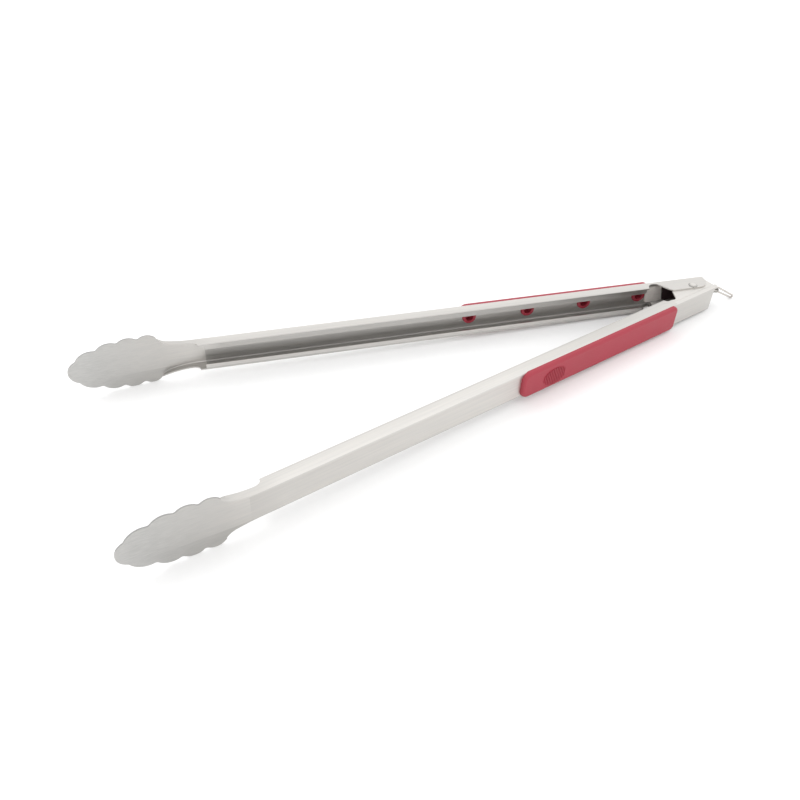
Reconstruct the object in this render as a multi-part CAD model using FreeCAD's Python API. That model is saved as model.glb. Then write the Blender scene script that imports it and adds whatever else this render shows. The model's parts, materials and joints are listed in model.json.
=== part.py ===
"""Spring loaded locking kitchen tongs, as an assembly of separate pieces.

The tongs are built closed, lying along -X with the pivot on the Z axis, then each arm is
swung open. s is the distance from the pivot towards the tips, so x = -s. n is the distance
from the mid-plane out to an arm's own side. Lengths are millimetres.
"""
import FreeCAD, Part
import math
import os

V = FreeCAD.Vector
ORIGIN = V(0, 0, 0)
OUTWARD = V(0, 1, 0)
UP = V(0, 0, 1)
X, Y, Z = 0, 1, 2
TOUCH = 0.01

# Arms: a channel of stainless sheet, open towards the other arm
SHEET = 1.0
ARM_HEIGHT = 21.2
MID = ARM_HEIGHT / 2
WEB_OUT = 11.6
FLANGE_DEPTH = 9.3
BEND_RADIUS = 2.0
OPEN_ANGLE = 10.0
SLACK = 0.05

# Lips turned in along the flange edges, from the notch to the neck
LIP_DEPTH = 3.2
LIP_START = 38.5
LIP_END = 377.0
LIP_CORNER = 1.5

# Neck: the arm turns in, the flanges step down to a low rim and the web flares out
TURN_START = 377.0
TURN_ANGLE = math.radians(6.5)
FLANGE_END = 381.0
STEP_LENGTH = 5.0
RIM_DEPTH = 5.5
RIM_FAR_DEPTH = 4.4
RIM_END_DEPTH = 1.6
RIM_END_BEND = 1.3
STEP_PARTS = (0.04, 0.15, 0.35, 0.65, 1.0)
RIM_SECTIONS = 14
FLARE_START = 384.0
FLARE_RISE = 3.5
SHOULDER_START = 401.5
SHOULDER_RISE = 2.1
HEAD_START = 407.5
TURN_LENGTH = HEAD_START - TURN_START

# Head: valleys between the scallops, as distance from the neck and half width
NECK_HALF_WIDTH = MID + FLARE_RISE + SHOULDER_RISE
VALLEYS = [(0.0, NECK_HALF_WIDTH), (12.3, 17.1), (25.7, 17.1), (39.7, 14.3), (54.0, 8.4)]
HEAD_LENGTH = 59.9
SCALLOP_RISE = 2.8
VALLEY_FILLET = 2.0

# Ears round the pivot: the right arm's lie outside the left arm's
WEB_BACK = 12.5
RIGHT_EAR_BACK = 14.0
RIGHT_EAR_OVERHANG = 3.3
RIGHT_EAR_ROUND = 9.5
LEFT_EAR_BACK = 16.4
LEFT_EAR_ROUND = 1.0
STOP_GAP = 0.8
NOTCH_FRONT = 39.0
NOTCH_FRONT_SLANT = 0.5
NOTCH_BACK = 20.7
NOTCH_SLANT = 0.68
NOTCH_MARGIN = 2.0
NOTCH_EAR_ROUND = 4.0
RIGHT_NOTCH_TOP = 7.9
RIGHT_NOTCH_FILLET = 5.0
LEFT_NOTCH_TOP = 5.2
LEFT_NOTCH_FILLET = 3.5

# The left arm's flanges step in by one sheet near the pivot, to pass under the right ears
EAR_DROP = SHEET + SLACK
EAR_STEP_OUTER = 3.0
EAR_STEP_INNER = 4.4
DROP_START = 27.5
DROP_END = 31.5

# Pivot
RIVET_RADIUS = 2.5
RIVET_HEAD_RADIUS = 3.5
RIVET_HEAD_RISE = 1.2
SLEEVE_RADIUS = 3.5

# Grips snapped into four holes in each web
GRIP_START = 33.0
GRIP_END = 189.4
GRIP_THICKNESS = 3.15
GRIP_WRAP = 0.6
GRIP_INSET = 0.5
GRIP_TIP_CORNER = 6.0
GRIP_BACK_CORNER = 4.0
GRIP_EDGE_FILLET = 2.2
HOLE_COUNT = 4
HOLE_FIRST = 39.9
HOLE_PITCH = 47.1
HOLE_RADIUS = 4.7
BOSS_RIM_RADIUS = 5.5
BOSS_RIM_THICKNESS = 1.2
BOSS_RIM_TAPER = 0.5
BOSS_BORE = 3.1
BOSS_BORE_DEPTH = 4.6
RIB_PATCH_CENTRE = 160.5
RIB_PATCH_DROP = 1.2
RIB_PATCH_LENGTH = 21.0
RIB_PATCH_HEIGHT = 13.5
RIB_PITCH = 1.7
RIB_WIDTH = 0.85
RIB_RISE = 0.5
RIB_ROOT = 0.5

# Leaf spring: a U round the pivot with one leg along each web
LEAF_THICKNESS = 0.8
LEAF_GAP = 0.4
LEAF_BOTTOM = 3.6
LEAF_TOP = 17.6
LEAF_END = 34.0

# Lock slide: a flat strip on the centre line, with two prongs turned down at its front end
STRIP = 1.2
STRIP_BOTTOM = MID - STRIP / 2
STRIP_HALF = 5.2
STRIP_TAPER = 3.0
SLOT_HALF = 3.6
LOCK_TRAVEL = 11.0
NECK_HALF = 2.6
PRONG_FRONT = 36.0
PRONG_BACK = 25.0
PRONG_INNER = 3.5
PRONG_BOTTOM = 1.4
PRONG_CORNER = 3.0
EYE_X = 26.0
EYE_RADIUS = 2.3
EYE_RIM = 1.0
TAIL_HALF = 2.5
WINDOW_CLEARANCE = 0.5

# Pull ring: a tapered loop of wire through the eye
WIRE_RADIUS = 0.75
RING_INNER_RADIUS = 1.65
RING_OUTER_RADIUS = 1.1
RING_LENGTH = 21.4
RING_DROOP = 29.1
RING_YAW = 8.0


def prism(points, bottom, top):
    """Upright prism over an outline of x, y points."""
    corners = [V(x, y, bottom) for x, y in points]
    face = Part.Face(Part.makePolygon(corners + corners[:1]))
    return face.extrude(V(0, 0, top - bottom))


def box(x0, x1, y0, y1, z0, z1):
    return Part.makeBox(x1 - x0, y1 - y0, z1 - z0, V(x0, y0, z0))


def edges_where(shape, run, **fixed):
    """Edges that run along one axis, or along any for None, with both ends at x, y or z."""
    found = []
    for edge in shape.Edges:
        first, last = edge.Vertexes[0].Point, edge.Vertexes[-1].Point
        placed = all(abs(getattr(end, axis) - value) < TOUCH
                     for end in (first, last) for axis, value in fixed.items())
        if placed and (run is None or abs(first[run] - last[run]) > TOUCH):
            found.append(edge)
    return found


def station(s):
    """Point on the web's outer face at length s, and the outward direction there."""
    radius = TURN_LENGTH / TURN_ANGLE
    turned = min(max(s - TURN_START, 0.0), TURN_LENGTH)
    angle = turned / radius
    beyond = max(s - TURN_START - TURN_LENGTH, 0.0)
    along = min(s, TURN_START) + radius * math.sin(angle) + beyond * math.cos(angle)
    inward = radius * (1 - math.cos(angle)) + beyond * math.sin(angle)
    return V(-along, WEB_OUT - inward, 0), V(-math.sin(angle), math.cos(angle), 0)


def flange_face(half, depth, bend, drop):
    """Upper flange's outer face from its free edge to the bend, as inset and height."""
    if drop is None:
        return [(depth, half), (bend, half)]
    low = half - drop
    return [(depth, low), (EAR_STEP_INNER, low), (EAR_STEP_OUTER, half), (bend, half)]


def channel_section(s, half=MID, depth=FLANGE_DEPTH, bend=BEND_RADIUS, drop=None):
    """Outline of the channel across the arm, as a closed wire."""
    base, outward = station(s)
    mid_outer = bend * (1 - math.sqrt(0.5))
    mid_inner = SHEET + (bend - SHEET) * (1 - math.sqrt(0.5))
    outside = flange_face(half, depth, bend, drop)
    inside = [(inset, z - SHEET) for inset, z in reversed(outside)]

    def at(inset, z):
        return base - outward * inset + V(0, 0, MID + z)

    def lines(points):
        return [Part.makeLine(at(*p), at(*q)) for p, q in zip(points, points[1:])]

    def bend_arc(first, middle, last):
        return [Part.Arc(at(*first), at(*middle), at(*last)).toShape()]

    def below(points):
        return [(inset, -z) for inset, z in reversed(points)]

    edges = lines(outside)
    edges += bend_arc((bend, half), (mid_outer, half - mid_outer), (0, half - bend))
    edges += lines([(0, half - bend), (0, bend - half)])
    edges += bend_arc((0, bend - half), (mid_outer, mid_outer - half), (bend, -half))
    edges += lines(below(outside) + below(inside))
    edges += bend_arc((bend, SHEET - half), (mid_inner, mid_inner - half), (SHEET, bend - half))
    edges += lines([(SHEET, bend - half), (SHEET, half - bend)])
    edges += bend_arc((SHEET, half - bend), (mid_inner, half - mid_inner), (bend, half - SHEET))
    edges += lines(inside + outside[:1])
    return Part.Wire(edges)


def rise(s, start, end=HEAD_START):
    """Share of a curve that starts level at one station and steepens up to another."""
    return (max(s - start, 0.0) / (end - start)) ** 2


def neck_half(s):
    """Half height of the web, which flares gently and then shoulders up to the head."""
    return MID + FLARE_RISE * rise(s, FLARE_START) + SHOULDER_RISE * rise(s, SHOULDER_START)


def rim_depth(s):
    """Depth of the flange in front of its end: a rounded step, then a low fading rim."""
    step = FLANGE_DEPTH - RIM_DEPTH
    left = max(FLANGE_END + STEP_LENGTH - s, 0.0) / STEP_LENGTH
    fade = (s - FLANGE_END) / (HEAD_START - FLANGE_END)
    low = RIM_DEPTH + (RIM_FAR_DEPTH - RIM_DEPTH) * fade
    low += (RIM_END_DEPTH - RIM_FAR_DEPTH) * rise(s, SHOULDER_START)
    return low + step * (1 - math.sqrt(1 - left ** 2))


def arm_channel(drop):
    """Channel from the ears' back end to the head, its flanges dropped near the pivot."""
    front = [] if drop else [channel_section(-RIGHT_EAR_BACK)]
    front += [channel_section(s) for s in (DROP_END, TURN_START)]
    front += [channel_section(s) for s in ((TURN_START + FLANGE_END) / 2, FLANGE_END)]
    rim_start = FLANGE_END + STEP_LENGTH
    rim_pitch = (HEAD_START - rim_start) / RIM_SECTIONS
    stations = [FLANGE_END + STEP_LENGTH * part for part in STEP_PARTS]
    stations += [rim_start + rim_pitch * (k + 1) for k in range(RIM_SECTIONS)]
    for s in stations:
        fade = (s - FLANGE_END) / (HEAD_START - FLANGE_END)
        bend = BEND_RADIUS + (RIM_END_BEND - BEND_RADIUS) * fade
        front.append(channel_section(s, neck_half(s), rim_depth(s), bend))
    channel = Part.makeLoft(front, True, True)
    if drop:
        back = [(-LEFT_EAR_BACK, drop), (DROP_START, drop), (DROP_END, 0.0)]
        stepped = [channel_section(s, drop=amount) for s, amount in back]
        channel = channel.fuse(Part.makeLoft(stepped, True, True))
    return channel


def scallop(first, last):
    """Arc bulging out between two valleys, in the head's own x, z plane."""
    chord = last - first
    normal = V(-chord.z, 0, chord.x).normalize()
    middle = (first + last) / 2
    if normal.dot(middle - V(-HEAD_LENGTH / 2, 0, 0)) < 0:
        normal = -normal
    return Part.Arc(first, middle + normal * SCALLOP_RISE, last).toShape()


def head_plate():
    """Flat scalloped head that carries the neck's web on to the tip."""
    back_half = VALLEYS[0][1]
    edges = [Part.makeLine(V(0, 0, -back_half), V(0, 0, back_half))]
    for side in (1, -1):
        points = [V(-u, 0, side * half) for u, half in VALLEYS]
        edges += [scallop(a, b) for a, b in zip(points, points[1:])]
    end_u, end_half = VALLEYS[-1]
    tip = V(-HEAD_LENGTH, 0, 0)
    edges.append(Part.Arc(V(-end_u, 0, end_half), tip, V(-end_u, 0, -end_half)).toShape())
    face = Part.Face(Part.Wire(Part.__sortEdges__(edges)))
    plate = face.extrude(V(0, -SHEET, 0))
    valley_edges = []
    for u, half in VALLEYS[1:]:
        valley_edges += edges_where(plate, Y, x=-u)
    plate = plate.makeFillet(VALLEY_FILLET, valley_edges)
    base = station(HEAD_START)[0]
    plate.rotate(ORIGIN, UP, math.degrees(TURN_ANGLE))
    plate.translate(base + V(0, 0, MID))
    return plate


def lips():
    """Strips turned in from both flange edges."""
    inner = WEB_OUT - FLANGE_DEPTH
    under = ARM_HEIGHT - SHEET
    upper = box(-LIP_END, -LIP_START, inner, inner + SHEET, under - LIP_DEPTH, under)
    upper = upper.makeFillet(LIP_CORNER, edges_where(upper, Y, x=-LIP_START, z=under - LIP_DEPTH))
    return [upper, upper.mirror(V(0, 0, MID), UP)]


def notch_cutter(top, overhang, fillet):
    """Prism that takes a rounded notch out of the flanges in front of the ears."""
    low = -overhang - NOTCH_MARGIN
    back_low = NOTCH_BACK - overhang * NOTCH_SLANT
    back_top = back_low + (top - low) * NOTCH_SLANT
    front_top = NOTCH_FRONT - top * NOTCH_FRONT_SLANT
    outline = [(-back_low, low), (-back_top, top), (-front_top, top), (-NOTCH_FRONT, low)]
    cutter = prism(outline, -1.0, ARM_HEIGHT + 1.0)
    return cutter.makeFillet(fillet, edges_where(cutter, Z, y=top))


def arm(drop, ear_back, ear_overhang, ear_round, notch_top, notch_fillet):
    """A right-hand arm in the closed position."""
    inner = WEB_OUT - BEND_RADIUS
    top = ARM_HEIGHT + 1
    full_ear = box(-DROP_START, ear_back, -ear_overhang, inner, 0, ARM_HEIGHT)
    full_ear = full_ear.makeFillet(ear_round, edges_where(full_ear, Z, x=ear_back,
                                                          y=-ear_overhang))
    beyond = box(0, ear_back + 1, -ear_overhang, inner, -1, top).cut(full_ear)
    solid = arm_channel(drop).cut(beyond).fuse(lips() + [head_plate()])
    flange = WEB_OUT - (EAR_STEP_INNER if drop else BEND_RADIUS)
    for bottom in (drop, ARM_HEIGHT - drop - SHEET):
        layer = box(-DROP_START, ear_back, -ear_overhang, flange, bottom, bottom + SHEET)
        solid = solid.fuse(full_ear.common(layer))
    solid = solid.cut(box(WEB_BACK, ear_back + 1, -ear_overhang - 1, WEB_OUT + 1, -1,
                          ARM_HEIGHT - BEND_RADIUS))
    web = box(-NOTCH_FRONT - 1, 0, inner, WEB_OUT + 1, -1, top)
    solid = solid.cut(notch_cutter(notch_top, ear_overhang, notch_fillet).cut(web))
    corner = NOTCH_BACK - (ear_overhang - NOTCH_MARGIN) * NOTCH_SLANT
    solid = solid.removeSplitter().Solids[0]
    solid = solid.makeFillet(NOTCH_EAR_ROUND, edges_where(solid, Z, x=-corner, y=-ear_overhang))
    pivot_hole = Part.makeCylinder(RIVET_RADIUS + SLACK, ARM_HEIGHT + 2, V(0, 0, -1))
    solid = solid.cut(pivot_hole)
    for s in hole_stations():
        start = V(-s, WEB_OUT - BEND_RADIUS, MID)
        solid = solid.cut(Part.makeCylinder(HOLE_RADIUS, 2 * BEND_RADIUS, start, OUTWARD))
    return solid.removeSplitter().Solids[0]


def hole_stations():
    return [HOLE_FIRST + HOLE_PITCH * k for k in range(HOLE_COUNT)]


def grip():
    """Rubber grip for a right-hand arm: a rounded bar with four hollow snap bosses."""
    low = WEB_OUT - GRIP_WRAP
    high = WEB_OUT + GRIP_THICKNESS
    body = box(-GRIP_END, -GRIP_START, low, high, 0, ARM_HEIGHT - GRIP_INSET)
    for x, radius in ((-GRIP_END, GRIP_TIP_CORNER), (-GRIP_START, GRIP_BACK_CORNER)):
        body = body.makeFillet(radius, edges_where(body, Y, x=x))
    body = body.makeFillet(GRIP_EDGE_FILLET, edges_where(body, None, y=high))
    body = body.fuse(grip_ribs(high))
    channel = box(-GRIP_END - 1, -GRIP_START + 1, 0, WEB_OUT, 0, ARM_HEIGHT)
    channel = channel.makeFillet(BEND_RADIUS, edges_where(channel, X, y=WEB_OUT))
    body = body.cut(channel)
    inner = WEB_OUT - SHEET - SLACK
    for s in hole_stations():
        deep = V(-s, inner - BOSS_RIM_THICKNESS, MID)
        neck = Part.makeCylinder(HOLE_RADIUS - SLACK, SHEET + 1, V(-s, inner, MID), OUTWARD)
        rim = Part.makeCone(BOSS_RIM_RADIUS - BOSS_RIM_TAPER, BOSS_RIM_RADIUS,
                            BOSS_RIM_THICKNESS, deep, OUTWARD)
        bore = Part.makeCylinder(BOSS_BORE, BOSS_BORE_DEPTH, deep, OUTWARD)
        body = body.fuse([neck, rim]).cut(bore)
    return body.removeSplitter().Solids[0]


def grip_ribs(face):
    """Fine upright ribs inside an oval patch near the grip's tip end."""
    centre = V(-RIB_PATCH_CENTRE, face - RIB_ROOT, MID - RIB_PATCH_DROP)
    oval = Part.Ellipse(centre, RIB_PATCH_LENGTH / 2, RIB_PATCH_HEIGHT / 2)
    oval.rotate(FreeCAD.Placement(centre, FreeCAD.Rotation(V(1, 0, 0), 90), ORIGIN))
    patch = Part.Face(Part.Wire(oval.toShape())).extrude(V(0, RIB_ROOT + RIB_RISE, 0))
    count = int(RIB_PATCH_LENGTH / RIB_PITCH)
    bars = []
    for k in range(count):
        x = -RIB_PATCH_CENTRE + RIB_PITCH * (k - (count - 1) / 2)
        bars.append(box(x - RIB_WIDTH / 2, x + RIB_WIDTH / 2, face - RIB_ROOT, face + RIB_RISE,
                        0, ARM_HEIGHT))
    return Part.makeCompound(bars).common(patch).Solids


def rivet():
    """Pivot rivet with a shallow dome at each end."""
    seat = ARM_HEIGHT + SLACK
    ball = (RIVET_HEAD_RADIUS ** 2 + RIVET_HEAD_RISE ** 2) / (2 * RIVET_HEAD_RISE)
    above = Part.makeCylinder(ball, ball, V(0, 0, seat))
    dome = Part.makeSphere(ball, V(0, 0, seat + RIVET_HEAD_RISE - ball)).common(above)
    shank = Part.makeCylinder(RIVET_RADIUS, ARM_HEIGHT + 2 * SLACK, V(0, 0, -SLACK))
    return shank.fuse([dome, dome.mirror(V(0, 0, MID), UP)]).removeSplitter().Solids[0]


def sleeve():
    """Spacer tube on the rivet, between the left arm's ears."""
    bottom = 2 * (SHEET + SLACK) + SLACK
    height = ARM_HEIGHT - 2 * bottom
    tube = Part.makeCylinder(SLEEVE_RADIUS, height, V(0, 0, bottom))
    return tube.cut(Part.makeCylinder(RIVET_RADIUS + SLACK, height, V(0, 0, bottom)))


def leaf_spring():
    """U of spring strip: a bend behind the rivet and a leg along each open arm's web."""
    outer = WEB_OUT - SHEET - LEAF_GAP
    inner = outer - LEAF_THICKNESS
    height = LEAF_TOP - LEAF_BOTTOM
    base = V(0, 0, LEAF_BOTTOM)
    ring = Part.makeCylinder(outer, height, base).cut(Part.makeCylinder(inner, height, base))
    corner = box(0, outer + 1, 0, outer + 1, LEAF_BOTTOM, LEAF_TOP)
    quarter = ring.common(corner)
    bend = quarter.common(swung(corner, OPEN_ANGLE))
    leg = box(-LEAF_END, 0, inner, outer, LEAF_BOTTOM, LEAF_TOP)
    leg = leg.makeFillet(PRONG_CORNER, edges_where(leg, Y, x=-LEAF_END))
    arc = swung(quarter, -OPEN_ANGLE).fuse(bend).common(corner)
    half = swung(leg, -OPEN_ANGLE).fuse(arc)
    spring = half.fuse(half.mirror(ORIGIN, OUTWARD))
    window_half = STRIP_HALF + WINDOW_CLEARANCE
    window = box(inner / 2, outer + 1, -window_half, window_half,
                 STRIP_BOTTOM - WINDOW_CLEARANCE, STRIP_BOTTOM + STRIP + WINDOW_CLEARANCE)
    return spring.cut(window).removeSplitter().Solids[0]


def lock_slide():
    """Slotted strip with two prongs turned down in front and an eye at the back."""
    top = STRIP_BOTTOM + STRIP
    slot_front = -SLOT_HALF - SLACK
    slot_back = SLOT_HALF + LOCK_TRAVEL + SLACK
    wide_front = slot_front - STRIP_HALF + SLOT_HALF
    prong_outer = PRONG_INNER + STRIP
    outline = [
        (-PRONG_FRONT, prong_outer),
        (-PRONG_BACK, prong_outer),
        (-PRONG_BACK + STRIP_TAPER, NECK_HALF),
        (wide_front - STRIP_TAPER, NECK_HALF),
        (wide_front, STRIP_HALF),
        (slot_back, STRIP_HALF),
        (slot_back + STRIP_TAPER, TAIL_HALF),
        (EYE_X, TAIL_HALF),
    ]
    mirrored = [(x, -y) for x, y in reversed(outline)]
    strip = prism(outline + mirrored, STRIP_BOTTOM, top)
    strip = strip.fuse(Part.makeCylinder(EYE_RADIUS + EYE_RIM, STRIP, V(EYE_X, 0, STRIP_BOTTOM)))
    slot = box(0, LOCK_TRAVEL, -SLOT_HALF, SLOT_HALF, STRIP_BOTTOM, top)
    ends = [Part.makeCylinder(SLOT_HALF, STRIP, V(x, 0, STRIP_BOTTOM)) for x in (0, LOCK_TRAVEL)]
    eye = Part.makeCylinder(EYE_RADIUS, STRIP, V(EYE_X, 0, STRIP_BOTTOM))
    strip = strip.cut([slot, eye] + ends)
    prong = box(-PRONG_FRONT, -PRONG_BACK, PRONG_INNER, prong_outer, PRONG_BOTTOM, top)
    prong = prong.makeFillet(PRONG_CORNER, edges_where(prong, Y, z=PRONG_BOTTOM))
    strip = strip.fuse([prong, prong.mirror(ORIGIN, OUTWARD)])
    return strip.removeSplitter().Solids[0]


def pull_ring():
    """Closed wire loop round the eye's rim, narrower at its far end, drooping to the table."""
    near, far = RING_INNER_RADIUS, RING_OUTER_RADIUS
    span = RING_LENGTH - near - far
    lean = math.asin((near - far) / span)

    def rim(centre, radius, side):
        return V(centre + radius * math.sin(lean), 0, side * radius * math.cos(lean))

    route = Part.Wire([
        Part.Arc(rim(0, near, -1), V(-near, 0, 0), rim(0, near, 1)).toShape(),
        Part.makeLine(rim(0, near, 1), rim(span, far, 1)),
        Part.Arc(rim(span, far, 1), V(span + far, 0, 0), rim(span, far, -1)).toShape(),
        Part.makeLine(rim(span, far, -1), rim(0, near, -1)),
    ])
    start = rim(0, near, -1)
    along = V(-math.cos(lean), 0, -math.sin(lean))
    section = Part.Wire(Part.makeCircle(WIRE_RADIUS, start, along))
    loop = route.makePipeShell([section], True, False)
    loop.rotate(ORIGIN, OUTWARD, RING_DROOP)
    loop.rotate(ORIGIN, UP, -RING_YAW)
    loop.translate(V(EYE_X + EYE_RADIUS + EYE_RIM / 2, 0, STRIP_BOTTOM + STRIP / 2))
    return loop


def swung(shape, degrees):
    """Copy of a shape turned about the pivot."""
    turned = shape.copy()
    turned.rotate(ORIGIN, UP, degrees)
    return turned


def left_hand(shape):
    """Closed right-hand shape, mirrored to the left side and swung open."""
    return swung(shape.mirror(ORIGIN, OUTWARD), OPEN_ANGLE)


def right_hand(shape):
    return swung(shape, -OPEN_ANGLE)


def stop_overhang():
    """How far the left ears reach past the pivot so that their corners stop on the right web."""
    both = math.radians(2 * OPEN_ANGLE)
    face = WEB_OUT - SHEET - STOP_GAP
    reach = (LEFT_EAR_BACK - LEFT_EAR_ROUND) * math.sin(both)
    return LEFT_EAR_ROUND + (face - LEFT_EAR_ROUND - reach) / math.cos(both)


def resting(shapes):
    """Tilt the tongs on to the table and centre them over the origin."""
    head_x = -(HEAD_START + VALLEYS[1][0])
    low_head = shapes["left_arm"].BoundBox.ZMin
    low_pivot = shapes["pivot_rivet"].BoundBox.ZMin
    tilt = math.degrees(math.asin((low_pivot - low_head) / -head_x))
    moved = {}
    for name, shape in shapes.items():
        moved[name] = shape.copy()
        moved[name].rotate(ORIGIN, OUTWARD, tilt)
    bounds = Part.makeCompound(list(moved.values())).BoundBox
    shift = V(-(bounds.XMin + bounds.XMax) / 2, 0, -bounds.ZMin)
    for shape in moved.values():
        shape.translate(shift)
    return moved


def build():
    left = arm(EAR_DROP, LEFT_EAR_BACK, stop_overhang(), LEFT_EAR_ROUND,
               LEFT_NOTCH_TOP, LEFT_NOTCH_FILLET)
    right = arm(0, RIGHT_EAR_BACK, RIGHT_EAR_OVERHANG, RIGHT_EAR_ROUND,
                RIGHT_NOTCH_TOP, RIGHT_NOTCH_FILLET)
    rubber = grip()
    return {
        "left_arm": left_hand(left),
        "right_arm": right_hand(right),
        "left_grip": left_hand(rubber),
        "right_grip": right_hand(rubber),
        "pivot_rivet": rivet(),
        "spacer_sleeve": sleeve(),
        "leaf_spring": leaf_spring(),
        "lock_slide": lock_slide(),
        "pull_ring": pull_ring(),
    }


os.makedirs("parts", exist_ok=True)
for node, shape in resting(build()).items():
    shape.exportStep("parts/" + node + ".step")
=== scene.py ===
"""Studio picture of the open kitchen tongs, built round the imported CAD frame."""
import json
import math

import bmesh
import bpy
from mathutils import Matrix, Vector


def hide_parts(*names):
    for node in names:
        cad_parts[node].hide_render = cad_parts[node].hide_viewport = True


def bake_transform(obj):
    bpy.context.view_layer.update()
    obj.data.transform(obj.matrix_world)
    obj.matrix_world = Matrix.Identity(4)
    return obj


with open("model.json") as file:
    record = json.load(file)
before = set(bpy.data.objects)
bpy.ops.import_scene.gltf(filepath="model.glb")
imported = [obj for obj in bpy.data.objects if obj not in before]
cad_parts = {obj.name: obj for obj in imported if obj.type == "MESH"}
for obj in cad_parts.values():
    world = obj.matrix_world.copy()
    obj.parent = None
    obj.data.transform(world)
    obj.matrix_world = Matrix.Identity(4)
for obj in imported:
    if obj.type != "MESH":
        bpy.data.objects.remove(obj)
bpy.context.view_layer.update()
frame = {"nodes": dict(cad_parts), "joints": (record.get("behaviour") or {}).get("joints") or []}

JOINTS = {joint["name"]: joint for joint in frame["joints"]}
NODES = frame["nodes"]

# The tongs' own axes: the pivot's axis is up, and the arms point to -x when closed
PIVOT = Vector(JOINTS["right_arm_hinge"]["pos_m"])
UP = Vector(JOINTS["right_arm_hinge"]["axis"]).normalized()
BACK = -Vector(JOINTS["lock_travel"]["axis"]).normalized()
SIDE = UP.cross(BACK)
HALF_HEIGHT = 0.0106
OPEN_ANGLE = math.radians(10)

# Zones of an arm, measured from the pivot towards the tips
EAR_FRONT = 0.0315
CHANNEL_END = 0.3765
HEAD_START = 0.4075

# Zones across an arm, measured from the tongs' middle out
LIP_OUT = 0.0034
INSIDE_OUT = 0.01075
WEB_FACE = 0.0112

# Zones up an arm, measured from its middle
EAR_TOP_HEIGHT = 0.009
INSIDE_HEIGHT = 0.0097
EDGE_DEPTH = 0.0091


def tongs_point(x, y, z):
    """Point given in metres along the tongs' own axes, from the arms' lower face at the pivot."""
    return PIVOT + BACK * x + SIDE * y + UP * (z - HALF_HEIGHT)


# ---------------------------------------------------------------- node helpers
class Maker:
    """Adds nodes to one material and links them."""

    def __init__(self, name):
        self.material = bpy.data.materials.new(name)
        self.material.use_nodes = True
        self.tree = self.material.node_tree
        self.tree.nodes.clear()
        self.shader = self.node("ShaderNodeBsdfPrincipled")
        output = self.node("ShaderNodeOutputMaterial")
        self.link(self.shader.outputs["BSDF"], output.inputs["Surface"])

    def node(self, kind, **values):
        made = self.tree.nodes.new(kind)
        for key, value in values.items():
            setattr(made, key, value)
        return made

    def link(self, source, target):
        self.tree.links.new(source, target)

    def axes(self, angle=0.0):
        """Distances from the pivot along an arm swung by angle, out across it and up."""
        place = self.node("ShaderNodeTexCoord").outputs["Object"]
        from_pivot = self.node("ShaderNodeVectorMath", operation="SUBTRACT")
        self.link(place, from_pivot.inputs[0])
        from_pivot.inputs[1].default_value = PIVOT
        along = BACK * math.cos(angle) + SIDE * math.sin(angle)
        across = SIDE * math.cos(angle) - BACK * math.sin(angle)
        return [self.dot(from_pivot.outputs["Vector"], way) for way in (along, across, UP)]

    def dot(self, vector, way):
        """Length of a vector along a direction."""
        made = self.node("ShaderNodeVectorMath", operation="DOT_PRODUCT")
        self.link(vector, made.inputs[0])
        made.inputs[1].default_value = way
        return made.outputs["Value"]

    def stretched(self, parts, scale):
        """Coordinates stretched by a scale along each part."""
        joined = self.node("ShaderNodeCombineXYZ")
        for part, factor, socket in zip(parts, scale, joined.inputs):
            self.link(self.both(part, factor), socket)
        return joined.outputs["Vector"]

    def both(self, first, second):
        """Product of two values, which is one where two masks overlap."""
        return self.math("MULTIPLY", first, second)

    def without(self, mask):
        return self.math("SUBTRACT", 1.0, mask)

    def above(self, value, limit):
        return self.math("GREATER_THAN", value, limit)

    def below(self, value, limit):
        return self.math("LESS_THAN", value, limit)

    def fade(self, value, start, end):
        """Zero at start, growing to one at end."""
        return self.spread(value, 0.0, 1.0, start, end)

    def between(self, value, low, high):
        """One where a value lies between two limits, else zero."""
        return self.both(self.above(value, low), self.below(value, high))

    def tinted(self, colour, mask, factor):
        """A colour multiplied by a factor where the mask is one."""
        share = self.spread(mask, 1.0, factor, 0.0, 1.0)
        scaled = self.node("ShaderNodeVectorMath", operation="SCALE")
        self.link(colour, scaled.inputs[0])
        self.link(share, scaled.inputs["Scale"])
        return scaled.outputs["Vector"]

    def noise(self, parts, scale, detail, roughness):
        """Noise over the parts' coordinates, each stretched by its own scale."""
        made = self.node("ShaderNodeTexNoise")
        made.inputs["Scale"].default_value = 1.0
        made.inputs["Detail"].default_value = detail
        made.inputs["Roughness"].default_value = roughness
        self.link(self.stretched(parts, scale), made.inputs["Vector"])
        return made.outputs["Fac"]

    def spread(self, source, low, high, start=0.3, end=0.7):
        """Maps a value between start and end to low and high."""
        made = self.node("ShaderNodeMapRange")
        made.inputs["From Min"].default_value = start
        made.inputs["From Max"].default_value = end
        made.inputs["To Min"].default_value = low
        made.inputs["To Max"].default_value = high
        self.link(source, made.inputs["Value"])
        return made.outputs["Result"]

    def math(self, operation, first, second):
        made = self.node("ShaderNodeMath", operation=operation)
        for value, socket in ((first, made.inputs[0]), (second, made.inputs[1])):
            if isinstance(value, (int, float)):
                socket.default_value = value
            else:
                self.link(value, socket)
        return made.outputs[0]

    def blend(self, factor, first, second):
        made = self.node("ShaderNodeMix", data_type="RGBA")
        self.link(factor, made.inputs["Factor"])
        for value, socket in ((first, made.inputs[6]), (second, made.inputs[7])):
            if isinstance(value, tuple):
                socket.default_value = (*value, 1)
            else:
                self.link(value, socket)
        return made.outputs[2]

    def bump(self, height, strength, distance):
        made = self.node("ShaderNodeBump")
        made.inputs["Strength"].default_value = strength
        made.inputs["Distance"].default_value = distance
        self.link(height, made.inputs["Height"])
        self.link(made.outputs["Normal"], self.shader.inputs["Normal"])


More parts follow.
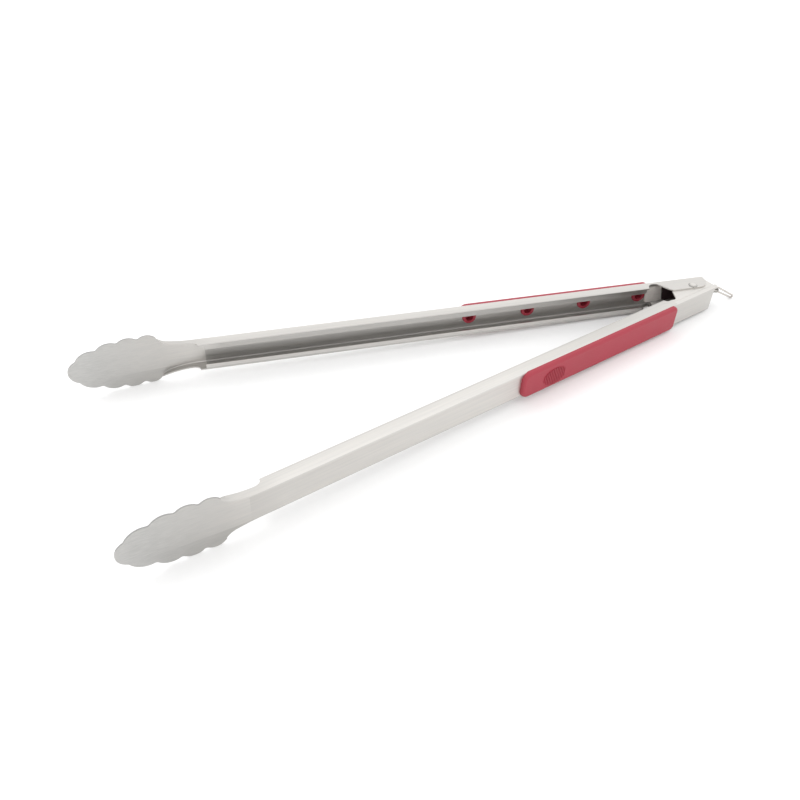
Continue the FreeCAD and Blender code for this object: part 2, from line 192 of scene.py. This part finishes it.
def steel(name, dark, light, rough, grain, bump, angle=0.0):
    """Steel brushed along one direction, with faint smudges. Also gives its colour and axes."""
    made = Maker(name)
    made.shader.inputs["Metallic"].default_value = 1.0
    parts = made.axes(angle)
    streaks = made.noise(parts, grain, 6.0, 0.6)
    smudges = made.noise(parts, (14, 60, 60), 3.0, 0.5)
    colour = made.blend(made.fade(streaks, 0.32, 0.68), dark, light)
    fine = made.spread(streaks, rough - 0.04, rough + 0.04)
    made.link(made.math("ADD", fine, made.spread(smudges, -0.03, 0.05)),
              made.shader.inputs["Roughness"])
    made.bump(streaks, bump, 0.0002)
    made.link(colour, made.shader.inputs["Base Color"])
    return made, colour, parts


def channel_inside(made, along, out, height, facing_up):
    """Mask of the channel's inner faces, apart from the ears' tops."""
    ear_top = made.both(facing_up, made.above(height, EAR_TOP_HEIGHT))
    section = made.both(made.between(out, LIP_OUT, INSIDE_OUT),
                        made.between(height, -INSIDE_HEIGHT, INSIDE_HEIGHT))
    inside = made.both(section, made.above(along, -CHANNEL_END))
    return made.both(inside, made.without(ear_top))


def edge_tints(made, colour, along, out, height, facing_up):
    """Paints shade on the lips and the lower edge, a highlight on the flange next to the bend,
    and shade on the web towards its top.
    """
    upright = made.without(facing_up)
    channel = made.both(made.fade(along, -0.385, -0.365), made.below(along, -EAR_FRONT))
    inner_edge = made.both(channel, made.below(out, LIP_OUT))
    upper_lip = made.both(upright, made.above(height, 0.0))
    bend_highlight = made.both(facing_up, made.fade(out, 0.0045, 0.0110))
    web_top = made.both(made.above(out, WEB_FACE), made.fade(height, -0.009, 0.008))
    colour = made.tinted(colour, inner_edge, 0.90)
    colour = made.tinted(colour, made.both(inner_edge, upper_lip), 0.78)
    colour = made.tinted(colour, made.below(height, -EDGE_DEPTH), 0.86)
    colour = made.tinted(colour, made.both(bend_highlight, channel), 1.08)
    return made.tinted(colour, made.both(web_top, upright), 0.91)


def length_tints(made, colour, along, facing_up, pivot_shade_factor):
    """Paints light on the web along the arm, and paints shade on the arm towards the pivot and in
    the neck.
    """
    web = made.both(made.without(facing_up), made.fade(along, -0.370, -0.180))
    ear = made.both(facing_up, made.above(along, -EAR_FRONT))
    pivot_shade_mask = made.both(made.fade(along, -0.200, -0.100), made.without(ear))
    neck = made.fade(along, -0.370, -0.405)
    colour = made.tinted(colour, web, 1.12)
    colour = made.tinted(colour, pivot_shade_mask, pivot_shade_factor)
    return made.tinted(colour, neck, 0.86)


def arm_steel(name, angle, side, flange_top_light, pivot_shade_factor):
    """Arm steel: satin outside, rougher and under painted shade inside the channel, ground along
    the head, with more light and shade painted by position.
    """
    made, colour, parts = steel(name, (0.590, 0.577, 0.556), (0.660, 0.638, 0.608), 0.42,
                                (16, 700, 700), 0.05, angle)
    along, across, height = parts
    out = made.both(across, side)
    normal = made.node("ShaderNodeNewGeometry").outputs["True Normal"]
    facing_up = made.above(made.dot(normal, UP), 0.5)
    inside = channel_inside(made, along, out, height, facing_up)
    satin = made.shader.inputs["Roughness"].links[0].from_socket
    made.link(made.math("ADD", satin, made.both(inside, 0.12)), made.shader.inputs["Roughness"])
    # Painted light on the left arm's flange tops and painted shade on the right arm's, by each
    # arm's own factor.
    colour = made.tinted(colour, made.math("SUBTRACT", facing_up, inside), flange_top_light)
    # Painted shade inside the channel.
    colour = made.tinted(colour, inside, 0.78)
    colour = edge_tints(made, colour, along, out, height, facing_up)
    colour = length_tints(made, colour, along, facing_up, pivot_shade_factor)
    scratches = made.noise(parts, (60, 1500, 1500), 4.0, 0.6)
    ground = made.blend(made.fade(scratches, 0.32, 0.68),
                        (0.450, 0.446, 0.434), (0.520, 0.515, 0.501))
    colour = made.blend(made.fade(along, -0.400, -0.450), colour, ground)
    head_edge = made.both(facing_up, made.below(along, -HEAD_START))
    colour = made.tinted(colour, head_edge, 0.70)
    made.link(colour, made.shader.inputs["Base Color"])
    return made.material


def dome_steel(name):
    """Rivet steel, with painted shade where the dome turns down at its edge."""
    made, colour = steel(name, (0.60, 0.58, 0.55), (0.66, 0.64, 0.61), 0.28,
                         (300, 300, 300), 0.03)[:2]
    normal = made.node("ShaderNodeNewGeometry").outputs["Normal"]
    # Painted shade on faces that turn away from straight up.
    steep = made.fade(made.dot(normal, UP), 0.95, 0.82)
    made.link(made.tinted(colour, steep, 0.45), made.shader.inputs["Base Color"])
    return made.material


def plain_steel(name, dark, light, rough, grain):
    """Steel with nothing but its brushed grain."""
    return steel(name, dark, light, rough, grain, 0.06)[0].material


def spring_with_painted_shade(name, angle):
    """Bright spring strip, with near-black painted shade round its bend."""
    made, colour, parts = steel(name, (0.88, 0.83, 0.78), (0.96, 0.91, 0.86), 0.55,
                                (18, 900, 900), 0.06, angle)
    made.shader.inputs["Metallic"].default_value = 0.35
    along, _, height = parts
    slant = made.both(height, 0.24)
    # Painted shade, near black, near the pivot where the ears keep the light off; its shine is
    # turned off there too.
    painted_shade = made.fade(made.math("ADD", along, slant), -0.0202, -0.0192)
    made.link(made.blend(painted_shade, colour, (0.070, 0.046, 0.048)), made.shader.inputs["Base Color"])
    made.link(made.spread(painted_shade, 0.5, 0.0, 0.0, 1.0), made.shader.inputs["Specular IOR Level"])
    return made.material


def moulded_rubber(name):
    """Red rubber with a fine moulded texture and faint rubbed patches."""
    made = Maker(name)
    parts = made.axes()
    grain = made.noise(parts, (1800, 1800, 1800), 3.0, 0.6)
    cloud = made.noise(parts, (45, 45, 45), 3.0, 0.5)
    base = made.blend(made.fade(cloud, 0.3, 0.7), (0.31, 0.026, 0.042), (0.34, 0.031, 0.050))
    colour = made.blend(made.spread(grain, 0, 0.5), base, (0.37, 0.045, 0.068))
    made.link(colour, made.shader.inputs["Base Color"])
    made.link(made.spread(cloud, 0.44, 0.54), made.shader.inputs["Roughness"])
    made.shader.inputs["Specular IOR Level"].default_value = 0.42
    made.bump(grain, 0.25, 0.00012)
    return made.material


def paper_floor():
    """Seamless white backdrop paper."""
    made = Maker("backdrop_paper")
    fibre = made.noise(made.axes(), (220, 220, 220), 4.0, 0.6)
    colour = made.blend(fibre, (0.90, 0.90, 0.90), (0.93, 0.93, 0.93))
    made.link(colour, made.shader.inputs["Base Color"])
    made.shader.inputs["Roughness"].default_value = 0.9
    made.shader.inputs["Specular IOR Level"].default_value = 0.1
    return made.material


def dress(node, material):
    """Gives a CAD node one material."""
    slots = NODES[node].data.materials
    slots.clear()
    slots.append(material)


# The last two numbers scale painted light and shade: on the flange tops, then towards the pivot.
dress("left_arm", arm_steel("left_arm_steel", OPEN_ANGLE, -1, 1.07, 0.86))
dress("right_arm", arm_steel("right_arm_steel", -OPEN_ANGLE, 1, 0.98, 0.98))
rubber = moulded_rubber("red_rubber")
dress("left_grip", rubber)
dress("right_grip", rubber)
rivet_steel = dome_steel("rivet_steel")
dress("pivot_rivet", rivet_steel)
dress("spacer_sleeve", rivet_steel)
dress("lock_slide", plain_steel("slide_steel", (0.34, 0.33, 0.31), (0.40, 0.38, 0.36), 0.45,
                                (60, 700, 700)))
dress("pull_ring", plain_steel("ring_steel", (0.50, 0.47, 0.44), (0.60, 0.57, 0.54), 0.2,
                               (200, 500, 500)))


# ---------------------------------------------------------------- leaf spring
LEAF_INNER = 0.0094
LEAF_OUTER = 0.0102
LEAF_LEG = 0.034
LEAF_LEVELS = (0.0036, 0.0095, 0.0117, 0.0176)
LEAF_CORNER = 0.003
WINDOW_HALF = 0.0057
ARC_STEPS = 24
LEG_STEPS = 12
CORNER_STEPS = 6


def leaf_path():
    """Stations of the right half: inner point, outer point and corner rounding at each."""
    quarter = math.pi / 2 - OPEN_ANGLE
    window_end = math.asin(WINDOW_HALF / LEAF_OUTER)
    turns = [window_end * k / ARC_STEPS for k in range(ARC_STEPS)]
    turns += [window_end + (quarter - window_end) * k / ARC_STEPS for k in range(ARC_STEPS + 1)]
    stations = []
    for turn in turns:
        ray = Vector((math.cos(turn), math.sin(turn)))
        stations.append((ray * LEAF_INNER, ray * LEAF_OUTER, 0.0))
    ahead = Vector((-math.cos(OPEN_ANGLE), math.sin(OPEN_ANGLE)))
    plain = LEAF_LEG - LEAF_CORNER
    runs = [plain * (k + 1) / LEG_STEPS for k in range(LEG_STEPS)]
    runs += [plain + LEAF_CORNER * (k + 1) / CORNER_STEPS for k in range(CORNER_STEPS)]
    inner, outer = stations[-1][:2]
    for run in runs:
        past = max(run - plain, 0.0)
        rounding = LEAF_CORNER - math.sqrt(max(LEAF_CORNER ** 2 - past ** 2, 0.0))
        stations.append((inner + ahead * run, outer + ahead * run, rounding))
    return stations


def leaf_points(stations, side):
    """Points of one half, level by level at each station, the inner one before the outer."""
    points = []
    top = len(LEAF_LEVELS) - 1
    for inner, outer, rounding in stations:
        trims = {0: rounding, top: -rounding}
        for level, height in enumerate(LEAF_LEVELS):
            for flat in (inner, outer):
                points.append(tongs_point(flat.x, side * flat.y, height + trims.get(level, 0.0)))
    return points


def leaf_faces(count):
    """Faces of one half, with the window left open in its middle band."""
    levels = len(LEAF_LEVELS)
    bands = range(levels - 1)
    window_bands = (0, levels - 2)

    def corner(station, level, outer):
        return (station * levels + level) * 2 + outer

    def side_face(station, level, outer):
        return [corner(station, level, outer), corner(station + 1, level, outer),
                corner(station + 1, level + 1, outer), corner(station, level + 1, outer)]

    def flat_face(station, level):
        return [corner(station, level, 0), corner(station + 1, level, 0),
                corner(station + 1, level, 1), corner(station, level, 1)]

    def end_face(station, level):
        return [corner(station, level, 0), corner(station, level, 1),
                corner(station, level + 1, 1), corner(station, level + 1, 0)]

    faces = []
    for station in range(count - 1):
        windowed = station < ARC_STEPS
        solid_bands = window_bands if windowed else bands
        faces += [side_face(station, band, outer) for band in solid_bands for outer in (0, 1)]
        flats = range(levels) if windowed else (0, levels - 1)
        faces += [flat_face(station, level) for level in flats]
    faces += [end_face(0, band) for band in window_bands]
    faces += [end_face(ARC_STEPS, 1)]
    faces += [end_face(count - 1, band) for band in bands]
    return faces


def turn_faces_out(mesh):
    shell = bmesh.new()
    shell.from_mesh(mesh)
    bmesh.ops.recalc_face_normals(shell, faces=shell.faces)
    shell.to_mesh(mesh)
    shell.free()


def leaf_half(name, side):
    """Half of the leaf spring, from the middle of its U to the end of one leg."""
    stations = leaf_path()
    mesh = bpy.data.meshes.new(name)
    mesh.from_pydata(leaf_points(stations, side), [], leaf_faces(len(stations)))
    turn_faces_out(mesh)
    mesh.materials.append(spring_with_painted_shade(name + "_steel", -side * OPEN_ANGLE))
    half = bpy.data.objects.new(name, mesh)
    bpy.context.scene.collection.objects.link(half)
    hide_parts("leaf_spring")
    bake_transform(half)


leaf_half("leaf_spring_right", 1)
leaf_half("leaf_spring_left", -1)


# ---------------------------------------------------------------- stage
FLOOR_HALF = 6.0
WORLD_STRENGTH = 1.25
SENSOR_WIDTH = 36

# Camera in the tongs' own axes: heading, height and roll in degrees, then metres
CAMERA_ANGLES = (-27.018, 40.236, 2.728)
CAMERA_TARGET = (-0.25397, -0.00207, -0.01194)
CAMERA_DISTANCE = 0.56473
FOCAL_SHARE = 1.00801875


def make_floor():
    mesh = bpy.data.meshes.new("backdrop")
    corners = [(-FLOOR_HALF, -FLOOR_HALF, 0), (FLOOR_HALF, -FLOOR_HALF, 0),
               (FLOOR_HALF, FLOOR_HALF, 0), (-FLOOR_HALF, FLOOR_HALF, 0)]
    mesh.from_pydata(corners, [], [(0, 1, 2, 3)])
    floor = bpy.data.objects.new("backdrop", mesh)
    bpy.context.scene.collection.objects.link(floor)
    mesh.materials.append(paper_floor())


def softbox(name, place, size, power):
    """Round soft light aimed at the middle of the tongs, left out of reflections."""
    data = bpy.data.lights.new(name, "AREA")
    data.shape = "DISK"
    data.size = size
    data.energy = power
    light = bpy.data.objects.new(name, data)
    light.location = place
    light.rotation_euler = (-Vector(place)).to_track_quat("-Z", "Y").to_euler()
    light.visible_glossy = False
    bpy.context.scene.collection.objects.link(light)


def make_world():
    world = bpy.data.worlds.new("studio")
    bpy.context.scene.world = world
    world.use_nodes = True
    background = world.node_tree.nodes["Background"]
    background.inputs["Color"].default_value = (1, 1, 1, 1)
    background.inputs["Strength"].default_value = WORLD_STRENGTH


def make_camera():
    """Camera looking at its target from a heading and a height, then rolled."""
    azimuth, elevation, roll = (math.radians(angle) for angle in CAMERA_ANGLES)
    back = Vector((math.sin(azimuth) * math.cos(elevation),
                   -math.cos(azimuth) * math.cos(elevation), math.sin(elevation)))
    right = (-back).cross(Vector((0, 0, 1))).normalized()
    up = right.cross(-back)
    turned_right = right * math.cos(roll) + up * math.sin(roll)
    turned_up = up * math.cos(roll) - right * math.sin(roll)
    columns = [BACK * v.x + SIDE * v.y + UP * v.z for v in (turned_right, turned_up, back)]
    data = bpy.data.cameras.new("camera")
    data.sensor_width = SENSOR_WIDTH
    data.sensor_fit = "HORIZONTAL"
    data.lens = FOCAL_SHARE * SENSOR_WIDTH
    data.clip_start = 0.01
    camera = bpy.data.objects.new("camera", data)
    matrix = Matrix([[column[row] for column in columns] for row in range(3)]).to_4x4()
    matrix.translation = tongs_point(*(Vector(CAMERA_TARGET) + back * CAMERA_DISTANCE))
    camera.matrix_world = matrix
    bpy.context.scene.collection.objects.link(camera)
    bpy.context.scene.camera = camera


make_floor()
make_world()
softbox("key_softbox", (-0.5, 0.9, 1.4), 1.3, 5)
softbox("fill_softbox", (0.6, -1.2, 1.5), 1.5, 3)
make_camera()
bpy.context.scene.view_settings.view_transform = "Standard"
